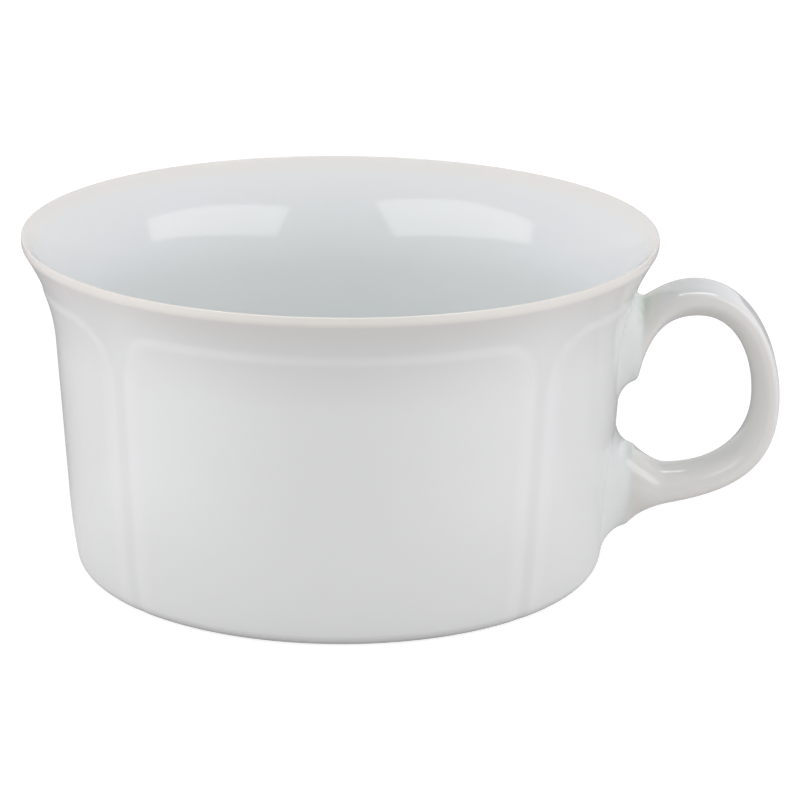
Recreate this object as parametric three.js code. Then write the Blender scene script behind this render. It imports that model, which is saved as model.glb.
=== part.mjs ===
// A white porcelain tea cup: a formed body with four raised panels and a flared rim, and a cast handle
// that two collars of slip join to the wall. Every piece is rigid, and nothing moves.
// Millimetres, +Z up, with the handle towards +X. The origin is under the middle of the cup's box,
// on the surface that the cup stands on.

import * as THREE from "three";

// Body
const rimRadius = 50;
const bodyHeight = 54.2;
const lipRound = 1.15; // radius of the half circle that closes the lip
const rimOverhang = 4.12; // how far the flare carries the rim out past the line of the straight wall
const flareHeight = 15.15;
const wallLean = THREE.MathUtils.degToRad(3.885); // outward lean of the straight wall
const wallThickness = 3;
const floorThickness = 4;
const baseRound = 2.05; // outer corner from the wall to the foot
const tuckHeight = 11.7; // the lowest stretch of the wall, which curves in towards the foot
const baseTuck = 0.66; // how far it curves in
const insideRound = 9; // inner corner from the wall to the floor
const footWidth = 3.2; // flat ring that the cup stands on
const footRecess = 1.3; // hollow under the floor, inside the foot ring
const footSlope = 1.5; // width of the slope from the foot ring up into the hollow

// Raised panels, side by side round the wall, with the first one behind the handle
const panelCount = 4;
const panelRaise = 0.22;
const panelDrop = 7.6; // from the rim down to the panels' top edge
const panelCorner = 8.5; // radius of a panel's two top corners
const grooveWidth = 2.4; // between the edges of neighbouring panels
const sideEdge = 1.6; // width of the soft step at a panel's sides
const topEdge = 4; // and at its top

// Collars of slip between the wall and the handle's two roots
const upperReach = 2.82; // from the line of the straight wall out to the seam with the handle
const lowerReach = 3.13;
const browFillet = 1.2; // collar spread over the wall: above the upper root
const webFillet = 3.3; // below the upper root
const shoulderFillet = 4.8; // above the lower root
const heelFillet = 3.75; // below the lower root
const sideFillet = 2.6; // on both sides of each root
const browDrop = 2.64; // from the panels' top edge down to the upper root
const heelLift = 0.68; // bare wall between the lower collar and the base's round corner
const jointGap = 0.3; // clearance between a collar and the pieces that it joins

// Handle
const lowerRootHeight = 12.95;
const rootSpacing = 11.29; // between the two roots, along the wall
const rootWidth = 10.6; // across the handle where it meets a collar
const backWidth = 9.2; // across the handle at its outermost point
const fingerGap = 21.07; // from the wall to the back of the loop
const backThickness = 4.26;
const crownReach = 12.17; // from the wall to the top of the loop
const crownRise = 2.54; // the loop's top above the upper root
const crownThickness = 4.53;
const armReach = 7.67; // from the wall to the lowest point of the finger hole
const armDip = 3.59; // that point below the top of the lower root
const heelReach = 7.76; // from the wall to the bend under the lower arm
const heelRise = 4.21; // that bend above the bottom of the lower root
const backSag = 0.99; // the loop's outermost point below the middle of the finger hole
const fingerSag = 1.26; // the finger hole's outermost point below that middle
const rootPower = 2.6; // a handle section at a root, between an ellipse (2) and a rectangle
const backPower = 4; // and along the back, where it is a flatter strap
const squaring = [0.2, 0.9]; // the part of a stretch next to a root over which the sections square up

// Headings of the handle's two outlines in degrees, as one travels from the upper root to the lower one
const browHeading = 36.3;
const webHeading = 81;
const levelOut = 0;
const straightDown = -90;
const armHeading = -168.3;
const heelHeading = -128.8;
const levelIn = -180;
const shoulderHeading = -228.8;

// Fullness of the outlines' stretches, from a straight line (0) to a sharp corner (1)
const quarterRound = (4 / 3) * (Math.SQRT2 - 1); // a quarter of a circle or an ellipse
const softBend = 0.6;
const browBend = 0.66;
const webBend = 0.7;
const backBend = 0.72;
const shoulderBend = 0.52;

// Facets
const columns = 88; // round the body
const crowding = 0.8; // share by which the columns crowd at the grooves
const baseRows = 5; // up the outside: the base's round corner, the wall, the panels' corners, the flare
const wallRows = 4;
const cornerRows = 11;
const flareRows = 5;
const lipRows = 7;
const insideFlareRows = 7; // down the inside: the flare, the wall, the corner to the floor
const insideWallRows = 2;
const floorRows = 6;
const loopSteps = 11; // along each of the handle's four stretches
const loopSides = 20; // round a handle section
const collarSides = 28;
const collarShares = [0, 0.06, 0.2, 0.45, 0.72, 1]; // rings of a collar, from the wall to the seam
const endScale = 0.5; // the ring halfway in on a piece's end face

// Places that follow from the sizes
const pitch = (2 * Math.PI) / panelCount;
const wallSlope = Math.tan(wallLean);
const lipLean = Math.atan(wallSlope + (2 * rimOverhang) / flareHeight);
const flareTop = bodyHeight - lipRound * (1 + Math.sin(lipLean));
const flareRadius = rimRadius - lipRound * (1 - Math.cos(lipLean));
const flareStart = flareTop - flareHeight;
const floorHeight = footRecess + floorThickness;
const panelTop = bodyHeight - panelDrop;
const waistRadius = straightRadius(flareStart);
const panelHalfWidth = (waistRadius * pitch - grooveWidth) / 2;

const upperRootTop = panelTop - browDrop;
const lowerRootBottom = baseRound + heelLift + heelFillet;
const lowerRootTop = lowerRootBottom + lowerRootHeight;
const upperRootBottom = lowerRootTop + rootSpacing;
const crownTop = upperRootTop + crownRise;
const crownUnder = crownTop - crownThickness;
const armTop = lowerRootTop - armDip;
const loopMiddle = (crownUnder + armTop) / 2;
const loopWall = outsideRadius(0, loopMiddle);
const handleReach = loopWall + fingerGap + backThickness;

// Radius of the line of the straight wall, without the flare, the panels and the curve in at the base
function straightRadius(height) {
  return flareRadius - rimOverhang - wallSlope * (flareTop - height);
}

// Radius of the outside between the panels: straight, then flared along a parabola
function fieldRadius(height) {
  const climb = Math.max(0, height - flareStart) / flareHeight;
  const under = Math.max(0, baseRound - height);
  const corner = baseRound - Math.sqrt(baseRound ** 2 - under ** 2);
  const tuck = baseTuck * (Math.max(0, tuckHeight - height) / tuckHeight) ** 2;
  return straightRadius(height) + rimOverhang * climb ** 2 - tuck - corner;
}

// Height of the raised panels over the field. Their sides run straight down to the foot.
function panelRise(angle, height) {
  const offCentre = angle - pitch * Math.round(angle / pitch);
  const across = Math.abs(offCentre) * waistRadius - panelHalfWidth + panelCorner;
  const upward = height - panelTop + panelCorner;
  const beyond = Math.hypot(Math.max(across, 0), Math.max(upward, 0));
  const distance = beyond + Math.min(Math.max(across, upward), 0) - panelCorner;
  const topness = beyond > 0 ? Math.max(upward, 0) / beyond : Number(upward > across);
  const width = THREE.MathUtils.lerp(sideEdge, topEdge, topness ** 2);
  return panelRaise * (1 - THREE.MathUtils.smoothstep(distance, -width / 2, width / 2));
}

function outsideRadius(angle, height) {
  return fieldRadius(height) + panelRise(angle, height);
}

// Even steps from one value to another, without the first one
function steps(from, to, count) {
  return Array.from({ length: count }, (_, i) => from + ((to - from) * (i + 1)) / count);
}

// A point at an angle round the cup's axis
function polar(radius, angle, height) {
  return new THREE.Vector3(radius * Math.cos(angle), radius * Math.sin(angle), height);
}

// The unit vector at an angle in the plane
function direction(angle) {
  return new THREE.Vector2(Math.cos(angle), Math.sin(angle));
}

// A closed skin over rings of equally many points, with a fan about a point at each end
function loft(firstPoint, rings, lastPoint) {
  const around = rings[0].length;
  const points = [firstPoint, ...rings.flat(), lastPoint];
  const at = (ring, i) => 1 + ring * around + (i % around);
  const top = rings.length - 1;
  const index = [];
  for (let i = 0; i < around; i++) {
    index.push(0, at(0, i + 1), at(0, i));
    for (let ring = 0; ring < top; ring++) {
      index.push(at(ring, i), at(ring, i + 1), at(ring + 1, i + 1));
      index.push(at(ring, i), at(ring + 1, i + 1), at(ring + 1, i));
    }
    index.push(points.length - 1, at(top, i), at(top, i + 1));
  }
  const geometry = new THREE.BufferGeometry().setFromPoints(points);
  geometry.setIndex(index);
  geometry.computeVertexNormals();
  return geometry;
}

function piece(name, geometry, colour) {
  const glaze = new THREE.MeshStandardMaterial({ color: colour, roughness: 0.15, metalness: 0 });
  const mesh = new THREE.Mesh(geometry, glaze);
  mesh.name = name;
  return mesh;
}

// The body runs from the middle of its underside, up the outside, over the lip and down to the floor inside.
function bodyGeometry() {
  const angles = Array.from({ length: columns }, (_, i) => {
    const turn = (i / columns) * panelCount;
    return pitch * (0.5 + turn - (crowding * Math.sin(2 * Math.PI * turn)) / (2 * Math.PI));
  });
  const circle = (radius, height) => angles.map((angle) => polar(radius, angle, height));
  const relief = (height) => angles.map((angle) => polar(outsideRadius(angle, height), angle, height));

  const footOuter = fieldRadius(0);
  const footInner = footOuter - footWidth;
  const foot = [circle(footInner - footSlope, footRecess), circle(footInner, 0), relief(0)];

  const quarter = Math.PI / 2;
  const baseHeights = steps(0, quarter, baseRows).map((a) => baseRound * (1 - Math.cos(a)));
  const wallHeights = steps(baseRound, panelTop - panelCorner, wallRows);
  const cornerHeights = steps(panelTop - panelCorner, panelTop + topEdge / 2, cornerRows);
  const flareHeights = steps(panelTop + topEdge / 2, flareTop, flareRows);
  const outside = [...baseHeights, ...wallHeights, ...cornerHeights, ...flareHeights].map(relief);

  const lipMiddle = new THREE.Vector2(rimRadius - lipRound, bodyHeight - lipRound);
  const lipPoint = (a) => direction(a).multiplyScalar(lipRound).add(lipMiddle);
  const lip = steps(-lipLean, Math.PI - lipLean, lipRows).map(lipPoint);

  const insideTop = lip.at(-1).y;
  const lipThickness = fieldRadius(insideTop) - lip.at(-1).x;
  const insideRadius = (height) => {
    const share = Math.max(0, height - flareStart) / (insideTop - flareStart);
    return fieldRadius(height) - wallThickness - (lipThickness - wallThickness) * share ** 2;
  };
  const roundTop = floorHeight + insideRound;
  const roundMiddle = insideRadius(roundTop) - insideRound;
  const insideHeights = [
    ...steps(insideTop, flareStart, insideFlareRows),
    ...steps(flareStart, roundTop, insideWallRows),
  ];
  const floorCorner = steps(0, quarter, floorRows).map(
    (a) => new THREE.Vector2(roundMiddle + insideRound * Math.cos(a), roundTop - insideRound * Math.sin(a)),
  );
  const insideWall = insideHeights.map((height) => new THREE.Vector2(insideRadius(height), height));
  const inside = [...lip, ...insideWall, ...floorCorner].map((p) => circle(p.x, p.y));

  const underside = new THREE.Vector3(0, 0, footRecess);
  const floor = new THREE.Vector3(0, 0, floorHeight);
  return loft(underside, [...foot, ...outside, ...inside], floor);
}

// A closed oval in the plane of height and width, squarer than an ellipse
function oval(sides, power) {
  const even = (v) => Math.sign(v) * Math.abs(v) ** (2 / power);
  return Array.from({ length: sides }, (_, i) => {
    const a = (2 * Math.PI * i) / sides;
    return new THREE.Vector2(even(Math.cos(a)), even(Math.sin(a)));
  });
}

// Radius of the seam between a collar and the handle's root
function seamRadius(reach, height) {
  return straightRadius(height) + panelRaise + reach;
}

// A collar spreads from the root's outline at the seam to a wider one on the wall, with a hollow curve.
function collarGeometry(bottom, top, reach, bottomFillet, topFillet) {
  const outline = oval(collarSides, rootPower);
  const middle = (bottom + top) / 2;
  const place = (width, height, share) => {
    const angle = width / waistRadius;
    const wall = outsideRadius(angle, height) + jointGap;
    return polar(wall + (seamRadius(reach, height) - wall) * share, angle, height);
  };
  // The outline at a share of the way out from the wall, drawn in towards its middle by a scale
  const ring = (share, scale = 1) => {
    const spread = 1 - Math.sqrt(1 - (1 - share) ** 2);
    const halfWidth = rootWidth / 2 + sideFillet * spread;
    const rise = top - middle + topFillet * spread;
    const fall = middle - bottom + bottomFillet * spread;
    return outline.map((p) =>
      place(p.x * halfWidth * scale, middle + p.y * (p.y > 0 ? rise : fall) * scale, share),
    );
  };
  const rings = [ring(0, endScale), ...collarShares.map((share) => ring(share)), ring(1, endScale)];
  return loft(place(0, middle, 0), rings, place(0, middle, 1));
}

// A curve between two points with a heading at each, rounded towards the corner where the headings cross
function bend(from, fromHeading, to, toHeading, fullness) {
  const leaving = direction(THREE.MathUtils.degToRad(fromHeading));
  const arriving = direction(THREE.MathUtils.degToRad(toHeading));
  const run = to.clone().sub(from).cross(arriving) / leaving.cross(arriving);
  const corner = from.clone().addScaledVector(leaving, run);
  const pull = (end) => end.clone().lerp(corner, fullness);
  return new THREE.CubicBezierCurve(from, pull(from), pull(to), to);
}

// The handle's outline in its middle plane, as (distance from the axis, height): outside and finger side
function handleOutline() {
  const outward = (reach, height) => new THREE.Vector2(loopWall + reach, height);
  const seat = (reach, height) => new THREE.Vector2(seamRadius(reach, height) + jointGap, height);

  const brow = seat(upperReach, upperRootTop);
  const crown = outward(crownReach, crownTop);
  const outermost = new THREE.Vector2(handleReach, loopMiddle - backSag);
  const heelBend = outward(heelReach, lowerRootBottom + heelRise);
  const heel = seat(lowerReach, lowerRootBottom);
  const outside = [
    bend(brow, browHeading, crown, levelOut, browBend),
    bend(crown, levelOut, outermost, straightDown, quarterRound),
    bend(outermost, straightDown, heelBend, armHeading, backBend),
    bend(heelBend, armHeading, heel, heelHeading, softBend),
  ];

  const web = seat(upperReach, upperRootBottom);
  const crownLow = outward(crownReach, crownUnder);
  const innermost = outward(fingerGap, loopMiddle - fingerSag);
  const armHigh = outward(armReach, armTop);
  const shoulder = seat(lowerReach, lowerRootTop);
  const fingerSide = [
    bend(web, webHeading, crownLow, levelOut, webBend),
    bend(crownLow, levelOut, innermost, straightDown, softBend),
    bend(innermost, straightDown, armHigh, levelIn, softBend),
    bend(armHigh, levelIn, shoulder, shoulderHeading, shoulderBend),
  ];
  return { outside, fingerSide };
}

// The handle is a row of oval sections between the two outlines, with both ends hollowed to their seams.
function handleGeometry() {
  const { outside, fingerSide } = handleOutline();
  const section = (stretch, share) => {
    const outer = outside[stretch].getPoint(share);
    const inner = fingerSide[stretch].getPoint(share);
    const middle = outer.clone().add(inner).multiplyScalar(0.5);
    const half = outer.sub(middle);
    const along = stretch + share;
    const fromBack = Math.abs((2 * along) / outside.length - 1);
    const halfWidth = (backWidth + (rootWidth - backWidth) * fromBack ** 2) / 2;
    const fromRoot = Math.min(along, outside.length - along);
    const squared = THREE.MathUtils.smoothstep(fromRoot, ...squaring);
    const outline = oval(loopSides, THREE.MathUtils.lerp(rootPower, backPower, squared));
    return { middle, half, halfWidth, outline };
  };
  const ring = ({ middle, half, halfWidth, outline }) =>
    outline.map((p) => {
      const inPlane = middle.clone().addScaledVector(half, p.x);
      return new THREE.Vector3(inPlane.x, -halfWidth * p.y, inPlane.y);
    });

  const seated = (point, reach) => {
    const radius = seamRadius(reach, point.z) + jointGap;
    return point.setX(Math.sqrt(radius ** 2 - point.y ** 2));
  };
  // The rings of a root's end face, from its rim to its middle
  const endFace = ({ middle, half, halfWidth, outline }, reach) => {
    const rings = [1, endScale].map((scale) =>
      ring({ middle, half: half.clone().multiplyScalar(scale), halfWidth: halfWidth * scale, outline }),
    );
    const point = new THREE.Vector3(middle.x, 0, middle.y);
    return { rings: rings.map((r) => r.map((p) => seated(p, reach))), point: seated(point, reach) };
  };

  const rings = [];
  for (let stretch = 0; stretch < outside.length; stretch++) {
    for (const share of steps(0, 1, loopSteps)) {
      rings.push(ring(section(stretch, share)));
    }
  }
  rings.pop();
  const upperEnd = endFace(section(0, 0), upperReach);
  const lowerEnd = endFace(section(outside.length - 1, 1), lowerReach);
  return loft(upperEnd.point, [...upperEnd.rings.reverse(), ...rings, ...lowerEnd.rings], lowerEnd.point);
}

const porcelain = 0xe6e8e7;
const slip = 0xdfe4e1;

const cup = new THREE.Group();
cup.position.x = -(handleReach - rimRadius) / 2;
cup.add(piece("cup_body", bodyGeometry(), porcelain));
cup.add(piece("handle", handleGeometry(), porcelain));
cup.add(
  piece(
    "upper_slip_joint",
    collarGeometry(upperRootBottom, upperRootTop, upperReach, webFillet, browFillet),
    slip,
  ),
);
cup.add(
  piece(
    "lower_slip_joint",
    collarGeometry(lowerRootBottom, lowerRootTop, lowerReach, heelFillet, shoulderFillet),
    slip,
  ),
);

const part = new THREE.Group();
part.add(cup);

export default part;
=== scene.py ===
"""A white porcelain tea cup with raised panels, a flared rim and a loop handle, in a plain studio.

Metres, +Z up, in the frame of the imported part: the handle points to +X and the foot stands on z = 0.
"""

import logging
import math
from collections.abc import Callable, Iterable
from dataclasses import dataclass
from enum import Enum
from functools import cached_property, partial

import bmesh
import bpy
from mathutils import Matrix, Vector


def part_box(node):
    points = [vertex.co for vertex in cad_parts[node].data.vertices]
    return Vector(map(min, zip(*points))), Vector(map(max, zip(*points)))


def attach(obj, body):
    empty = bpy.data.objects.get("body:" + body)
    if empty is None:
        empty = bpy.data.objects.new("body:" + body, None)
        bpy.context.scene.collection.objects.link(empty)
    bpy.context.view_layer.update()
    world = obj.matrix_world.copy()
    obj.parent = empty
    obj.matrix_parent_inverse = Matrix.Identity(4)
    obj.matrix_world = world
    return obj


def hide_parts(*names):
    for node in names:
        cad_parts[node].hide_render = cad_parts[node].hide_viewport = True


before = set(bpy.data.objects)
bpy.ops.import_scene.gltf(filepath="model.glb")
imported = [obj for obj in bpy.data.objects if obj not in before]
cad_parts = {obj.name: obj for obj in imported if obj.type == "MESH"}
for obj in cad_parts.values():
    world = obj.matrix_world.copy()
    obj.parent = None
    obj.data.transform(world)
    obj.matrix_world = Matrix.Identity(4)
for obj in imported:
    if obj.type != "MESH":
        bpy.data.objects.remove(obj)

MM = 0.001
QUARTER = math.pi / 2.0
log = logging.getLogger("tea_cup")

# Squareness of the handle's section at its roots, where 2 is a circle.
ROOT_POWER = 2.6

Colour = tuple[float, float, float]
Ring = list[bmesh.types.BMVert]
Socket = bpy.types.NodeSocket
Shader = bpy.types.ShaderNode


class Slot(Enum):
    """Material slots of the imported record."""

    PORCELAIN = "porcelain"
    SLIP = "slip"


class Coat(Enum):
    """Surface values that the pieces carry from point to point for their glaze, and for the painted light
    laid into its colour.
    """

    # The first three carry painted light along with the glaze: painted shade in hollows, a painted highlight
    # on the panels' side edges and painted warm light under the lip and on the handle.
    POOL_AND_SHADE = "glaze_pool_and_shade"
    EDGE = "glaze_edge_and_highlight"
    THIN = "glaze_thin_and_warm_light"
    BARE = "glaze_bare"


class Node(Enum):
    """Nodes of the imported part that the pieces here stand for."""

    BODY = "cup_body"
    HANDLE = "handle"
    UPPER = "upper_slip_joint"
    LOWER = "lower_slip_joint"


def smooth(low: float, high: float, value: float) -> float:
    """Rises softly from 0 at low to 1 at high.

    Args:
        low: Value at which the rise starts.
        high: Value at which it ends.
        value: Value to place between them.

    Returns:
        A share from 0 to 1.
    """
    share = min(1.0, max(0.0, (value - low) / (high - low)))
    return share * share * (3.0 - 2.0 * share)


def steps(start: float, end: float, count: int) -> list[float]:
    """Even steps from start to end, without start itself.

    Args:
        start: Value before the first step.
        end: Value of the last step.
        count: Number of steps.

    Returns:
        The values of the steps.
    """
    return [start + (end - start) * (i + 1) / count for i in range(count)]


@dataclass(frozen=True)
class Graph:
    """A node tree, with the steps that the trees of the glaze and of the studio are made of."""

    tree: bpy.types.NodeTree

    def maths(self, kind: str, *values: Socket | float) -> Socket:
        """One step of arithmetic.

        Args:
            kind: The operation.
            values: Sockets or numbers that it takes.

        Returns:
            The socket with the result.
        """
        node = self.tree.nodes.new("ShaderNodeMath")
        node.operation = kind
        for socket, value in zip(node.inputs, values):
            if isinstance(value, float):
                socket.default_value = value
            else:
                self.tree.links.new(value, socket)
        return node.outputs["Value"]

    def rise(self, value: Socket, low: float, high: float) -> Socket:
        """A soft rise from 0 to 1.

        Args:
            value: The value to place.
            low: Value at which the rise starts.
            high: Value at which it ends.

        Returns:
            The socket with the share.
        """
        node = self.tree.nodes.new("ShaderNodeMapRange")
        node.interpolation_type = "SMOOTHSTEP"
        self.tree.links.new(value, node.inputs["Value"])
        node.inputs["From Min"].default_value = low
        node.inputs["From Max"].default_value = high
        return node.outputs["Result"]

    def blend(self, share: Socket, below: Socket, above: Socket) -> Socket:
        """Lays one colour over another.

        Args:
            share: How much of the upper colour shows.
            below: The lower colour.
            above: The upper colour.

        Returns:
            The socket with the mixed colour.
        """
        node = self.tree.nodes.new("ShaderNodeMix")
        node.data_type = "RGBA"
        inputs = [socket for socket in node.inputs if socket.enabled]
        for given, socket in zip((share, below, above), inputs):
            self.tree.links.new(given, socket)
        return next(socket for socket in node.outputs if socket.enabled)

    def carried(self, coat: Coat) -> Socket:
        """The value that a piece's points carry for one part of the glaze."""
        node = self.tree.nodes.new("ShaderNodeAttribute")
        node.attribute_name = coat.value
        return node.outputs["Fac"]

    def noise(self, place: Socket, scale: float, detail: float) -> Socket:
        """Soft noise over a piece.

        Args:
            place: The piece's coordinates.
            scale: Swells for each metre.
            detail: How many finer swells lie in each.

        Returns:
            The socket with values round 0.5.
        """
        node = self.tree.nodes.new("ShaderNodeTexNoise")
        node.inputs["Scale"].default_value = scale
        node.inputs["Detail"].default_value = detail
        self.tree.links.new(place, node.inputs["Vector"])
        return node.outputs["Fac"]

    def coordinates(self, kind: str) -> tuple[Socket, Socket, Socket]:
        """The parts of a place in one kind of coordinates.

        Args:
            kind: The kind, as the Texture Coordinate node names it.

        Returns:
            The sockets with x, y and z.
        """
        place = self.tree.nodes.new("ShaderNodeTexCoord")
        parts = self.tree.nodes.new("ShaderNodeSeparateXYZ")
        self.tree.links.new(place.outputs[kind], parts.inputs[0])
        return parts.outputs["X"], parts.outputs["Y"], parts.outputs["Z"]

    def matt(self, colour: Colour) -> Shader:
        """A matt shader of one colour."""
        node = self.tree.nodes.new("ShaderNodeBsdfDiffuse")
        node.inputs["Color"].default_value = (*colour, 1.0)
        return node

    def bright(self, kind: str, colour: Colour, strength: Socket) -> Shader:
        """A shader that gives light.

        Args:
            kind: The node, for a surface or for a world.
            colour: Colour of the light.
            strength: Its strength, where 1 is white.

        Returns:
            The shader.
        """
        node = self.tree.nodes.new(kind)
        node.inputs["Color"].default_value = (*colour, 1.0)
        self.tree.links.new(strength, node.inputs["Strength"])
        return node

    def both(self, first: Shader, second: Shader) -> Shader:
        """Adds two shaders.

        Args:
            first: One of them.
            second: The other.

        Returns:
            The shader with the sum.
        """
        node = self.tree.nodes.new("ShaderNodeAddShader")
        self.tree.links.new(first.outputs[0], node.inputs[0])
        self.tree.links.new(second.outputs[0], node.inputs[1])
        return node

    def for_camera(self, level: float, other: Socket) -> Socket:
        """One level for rays of the camera and another for all the rest."""
        camera = self.tree.nodes.new("ShaderNodeLightPath").outputs["Is Camera Ray"]
        return self.maths("MULTIPLY_ADD", camera, self.maths("SUBTRACT", level, other), other)

    def by_sight(self, unseen: Shader, seen: Shader, surface: Socket) -> None:
        """Sends one shader to rays that only carry light, and one to rays that see.

        Args:
            unseen: Shader that lights the cup.
            seen: Shader that rays of the camera, of gloss and of glass see.
            surface: The output's socket.
        """
        path = self.tree.nodes.new("ShaderNodeLightPath")
        share = path.outputs["Is Camera Ray"]
        for name in ("Is Glossy Ray", "Is Transmission Ray"):
            share = self.maths("MAXIMUM", share, path.outputs[name])
        mix = self.tree.nodes.new("ShaderNodeMixShader")
        for given, socket in zip((share, unseen.outputs[0], seen.outputs[0]), mix.inputs):
            self.tree.links.new(given, socket)
        self.tree.links.new(mix.outputs[0], surface)


@dataclass(frozen=True)
class Glaze:
    """A clear glaze over white porcelain, warm where it lies thinly and faintly green where it gathers in
    hollows, with painted shade, highlight and warm light in its colour.
    """

    name: str
    body: Colour
    # Darker and greener than the body: glaze gathered in hollows, darkened further as painted shade.
    pooled_and_shaded: Colour = (0.56, 0.63, 0.53)
    # Warmer than the body: glaze laid thinly on the lip, and painted warm light under the lip and on the
    # handle.
    thinned_and_warm_lit: Colour = (0.785, 0.78, 0.735)
    # Paler than the body: glaze laid thinly on the panels' side edges, and a painted highlight along them.
    edge_thin_and_highlight: Colour = (0.81, 0.835, 0.84)
    biscuit: Colour = (0.62, 0.58, 0.53)
    gloss: float = 0.085
    bending: float = 1.5

    def material(self) -> bpy.types.Material:
        """Builds the glaze's node tree.

        Returns:
            The material.
        """
        made = bpy.data.materials.new(self.name)
        made.use_nodes = True
        nodes, links = made.node_tree.nodes, made.node_tree.links
        shader = nodes["Principled BSDF"]
        shader.inputs["IOR"].default_value = self.bending
        group = nodes.new("ShaderNodeGroup")
        group.node_tree = glaze_group()
        for socket, colour in (
            ("Body", self.body),
            ("Pooled_and_shaded", self.pooled_and_shaded),
            ("Thinned_and_warm_lit", self.thinned_and_warm_lit),
            ("Edge_thin_and_highlight", self.edge_thin_and_highlight),
            ("Biscuit", self.biscuit),
        ):
            group.inputs[socket].default_value = (*colour, 1.0)
        group.inputs["Gloss"].default_value = self.gloss
        bump = nodes.new("ShaderNodeBump")
        bump.inputs["Strength"].default_value = 1.0
        bump.inputs["Distance"].default_value = 1.0
        links.new(group.outputs["Colour"], shader.inputs["Base Color"])
        links.new(group.outputs["Roughness"], shader.inputs["Roughness"])
        links.new(group.outputs["Height"], bump.inputs["Height"])
        links.new(bump.outputs["Normal"], shader.inputs["Normal"])
        return made


def glaze_group() -> bpy.types.ShaderNodeTree:
    """The shared effect of a glaze: its colour, with painted shade, highlight and warm light laid into it,
    its gloss and faint unevenness.

    Returns:
        The node group, built once.
    """
    known = bpy.data.node_groups.get("glaze_skin")
    if known:
        return known
    tree = bpy.data.node_groups.new("glaze_skin", "ShaderNodeTree")
    for name in ("Body", "Pooled_and_shaded", "Thinned_and_warm_lit", "Edge_thin_and_highlight", "Biscuit"):
        tree.interface.new_socket(name, in_out="INPUT", socket_type="NodeSocketColor")
    tree.interface.new_socket("Gloss", in_out="INPUT", socket_type="NodeSocketFloat")
    tree.interface.new_socket("Colour", in_out="OUTPUT", socket_type="NodeSocketColor")
    for name in ("Roughness", "Height"):
        tree.interface.new_socket(name, in_out="OUTPUT", socket_type="NodeSocketFloat")
    given = tree.nodes.new("NodeGroupInput")
    result = tree.nodes.new("NodeGroupOutput")
    place = tree.nodes.new("ShaderNodeTexCoord").outputs["Object"]
    graph = Graph(tree)
    maths = graph.maths

    # The gathered glaze and its painted shade drift slowly in thickness over the piece.
    drift = maths("ADD", maths("MULTIPLY", graph.noise(place, 28.0, 2.0), 0.8), 0.5)
    pool = maths("MULTIPLY", graph.carried(Coat.POOL_AND_SHADE), drift)
    # The colour takes a painted highlight on the panels' side edges, painted shade with the green of
    # gathered glaze in hollows, painted warm light with the warmth of thinly laid glaze, and the bare
    # biscuit.
    colour = graph.blend(graph.carried(Coat.EDGE), given.outputs["Body"], given.outputs["Edge_thin_and_highlight"])
    colour = graph.blend(pool, colour, given.outputs["Pooled_and_shaded"])
    colour = graph.blend(graph.carried(Coat.THIN), colour, given.outputs["Thinned_and_warm_lit"])
    colour = graph.blend(graph.carried(Coat.BARE), colour, given.outputs["Biscuit"])
    tree.links.new(colour, result.inputs["Colour"])

    # The glaze is dull where it is thinnest, and the biscuit is matt.
    uneven = maths("MULTIPLY", maths("SUBTRACT", graph.noise(place, 60.0, 3.0), 0.5), 0.06)
    thinnest = maths("MAXIMUM", maths("SUBTRACT", graph.carried(Coat.THIN), 0.6), 0.0)
    rough = maths("ADD", given.outputs["Gloss"], uneven)
    rough = maths("MULTIPLY_ADD", thinnest, 0.15, rough)
    rough = maths("MULTIPLY_ADD", graph.carried(Coat.BARE), 0.55, rough)
    tree.links.new(rough, result.inputs["Roughness"])

    # The surface swells by a few hundredths of a millimetre.
    tree.links.new(maths("MULTIPLY", graph.noise(place, 110.0, 1.0), 0.04 * MM), result.inputs["Height"])
    return tree


def place_piece(piece: bpy.types.Object, finish: Glaze, slot: Slot, node: Node) -> bpy.types.Object:
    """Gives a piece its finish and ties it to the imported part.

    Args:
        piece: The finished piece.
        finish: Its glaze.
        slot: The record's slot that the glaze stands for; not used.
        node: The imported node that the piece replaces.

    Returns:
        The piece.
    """
    known = bpy.data.materials.get(finish.name)
    piece.data.materials.append(known or finish.material())
    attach(piece, "root")
    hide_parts(node.value)
    log.info("%s stands for %s", piece.name, node.value)
    return piece


def coat_layers(bm: bmesh.types.BMesh) -> dict[Coat, bmesh.types.BMLayerItem]:
    """Gives a bmesh's points a value for each part of the glaze."""
    return {coat: bm.verts.layers.float.new(coat.value) for coat in Coat}


def finish_mesh(bm: bmesh.types.BMesh, name: str) -> bpy.types.Object:
    """Turns a bmesh into a smooth piece that stands where its points are.

    Args:
        bm: The finished bmesh, which is freed.
        name: Name of the piece.

    Returns:
        The new object.
    """
    bmesh.ops.recalc_face_normals(bm, faces=bm.faces[:])
    for face in bm.faces:
        face.smooth = True
    mesh = bpy.data.meshes.new(name)
    bm.to_mesh(mesh)
    bm.free()
    piece = bpy.data.objects.new(name, mesh)
    bpy.context.scene.collection.objects.link(piece)
    return piece


def loft(bm: bmesh.types.BMesh, sides: int, places: Iterable[Callable[[float], Vector]]) -> list[Ring]:
    """Bridges a row of closed rings.

    Args:
        bm: Bmesh that takes the rings.
        sides: Points in each ring.
        places: For each ring, where the point at an angle round it lies.

    Returns:
        The rings' vertices, in order.
    """
    rings: list[Ring] = []
    loops: list[list[bmesh.types.BMEdge]] = []
    for place in places:
        ring = bmesh.ops.create_circle(bm, segments=sides, radius=1.0)["verts"]
        loops.append(list({edge for vert in ring for edge in vert.link_edges}))
        for vert in ring:
            vert.co = place(math.atan2(vert.co.y, vert.co.x))
        rings.append(ring)
        if len(loops) > 1:
            bmesh.ops.bridge_loops(bm, edges=loops[-2] + loops[-1])
    return rings


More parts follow.
